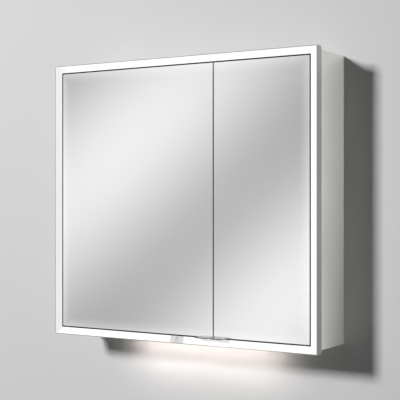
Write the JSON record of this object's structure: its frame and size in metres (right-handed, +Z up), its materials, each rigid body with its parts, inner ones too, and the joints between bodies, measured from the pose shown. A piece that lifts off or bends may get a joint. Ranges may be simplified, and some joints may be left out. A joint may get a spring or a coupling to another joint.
{
  "type": "mirror cabinet",
  "caption": "Wall-hung bathroom mirror cabinet with a lit bevelled front frame, two hinged mirror doors, sliding glass shelves and a downlight underneath.",
  "frame": {"origin": "on the wall plane, midway between the two screw holes of the wall rail", "axes": "+X to the right seen from the room, +Y into the wall, +Z up"},
  "size_m": [0.8, 0.1823, 0.74],
  "materials": {
    "frame_aluminium": "satin anodised",
    "carcass_aluminium": "fine brushed, anodised pale",
    "mirror_glass": "silvered, polished",
    "lit_diffuser": "opal acrylic, lit from inside",
    "downlight_lens": "opal acrylic, warm white",
    "led_board": "white solder mask",
    "sensor_cover": "grey translucent acrylic",
    "sensor_board": "green solder mask",
    "white_plastic": "moulded, fine grain",
    "grey_plastic": "moulded, fine grain",
    "dark_rubber": "matt",
    "core_board": "light core board",
    "door_aluminium": "satin anodised",
    "handle_metal": "satin anodised plate",
    "pivot_steel": "ground",
    "screw_steel": "zinc plated",
    "magnet": "nickel plated",
    "bush_plastic": "natural acetal",
    "shelf_glass": "clear, ground edges",
    "wall_steel": "zinc-grey"
  },
  "bodies": {
    "cabinet": {"side_panel_left": "carcass_aluminium", "side_panel_right": "carcass_aluminium", "top_panel": "carcass_aluminium", "bottom_panel": "carcass_aluminium", "back_panel": "carcass_aluminium", "corner_angles": "carcass_aluminium", "frame_top": "frame_aluminium", "frame_bottom": "frame_aluminium", "frame_left": "frame_aluminium", "frame_right": "frame_aluminium", "frame_corner_brackets": "pivot_steel", "frame_screws": "screw_steel", "diffuser_top": "lit_diffuser", "diffuser_bottom": "lit_diffuser", "diffuser_left": "lit_diffuser", "diffuser_right": "lit_diffuser", "frame_led_strips": "led_board", "touch_sensor": "sensor_cover", "sensor_board": "sensor_board", "downlight_channel": "carcass_aluminium", "downlight_led_board": "led_board", "downlight_lens": "downlight_lens", "led_driver": "white_plastic", "driver_cover": "carcass_aluminium", "terminal_block": "white_plastic", "cable_trunking": "carcass_aluminium", "socket_housing": "white_plastic", "socket_insert": "white_plastic", "cable_gland": "dark_rubber", "rear_wall_mirror": "mirror_glass", "shelf_rails": "carcass_aluminium", "pivot_blocks": "pivot_steel", "pivot_bushes": "bush_plastic", "magnet_housings": "grey_plastic", "catch_magnets": "magnet", "wall_rail": "wall_steel", "hanger_brackets": "wall_steel", "hanger_rivets": "screw_steel", "lower_spacers": "grey_plastic"},
    "left_door": {"left_door_frame": "door_aluminium", "left_door_core": "core_board", "left_door_mirror": "mirror_glass", "left_door_inner_mirror": "mirror_glass", "left_door_pivot_pins": "pivot_steel", "left_door_strike_plates": "screw_steel", "left_door_handle": "handle_metal", "left_door_handle_screws": "screw_steel"},
    "right_door": {"right_door_frame": "door_aluminium", "right_door_core": "core_board", "right_door_mirror": "mirror_glass", "right_door_inner_mirror": "mirror_glass", "right_door_pivot_pins": "pivot_steel", "right_door_strike_plates": "screw_steel", "right_door_handle": "handle_metal", "right_door_handle_screws": "screw_steel"},
    "upper_shelf": {"upper_shelf": "shelf_glass", "upper_shelf_clamps": "grey_plastic"},
    "lower_shelf": {"lower_shelf": "shelf_glass", "lower_shelf_clamps": "grey_plastic"}
  },
  "joints": [
    {"name": "left_door_hinge", "type": "hinge", "parent": "cabinet", "child": "left_door", "pos_m": [-0.3635, -0.1515, -0.25], "axis": [0, 0, -1], "range_deg": [0, 110]},
    {"name": "right_door_hinge", "type": "hinge", "parent": "cabinet", "child": "right_door", "pos_m": [0.3635, -0.1515, -0.25], "axis": [0, 0, 1], "range_deg": [0, 110]},
    {"name": "upper_shelf_slide", "type": "slide", "parent": "cabinet", "child": "upper_shelf", "axis": [0, 0, 1], "range_m": [-0.09, 0.09]},
    {"name": "lower_shelf_slide", "type": "slide", "parent": "cabinet", "child": "lower_shelf", "axis": [0, 0, 1], "range_m": [-0.09, 0.09]}
  ]
}
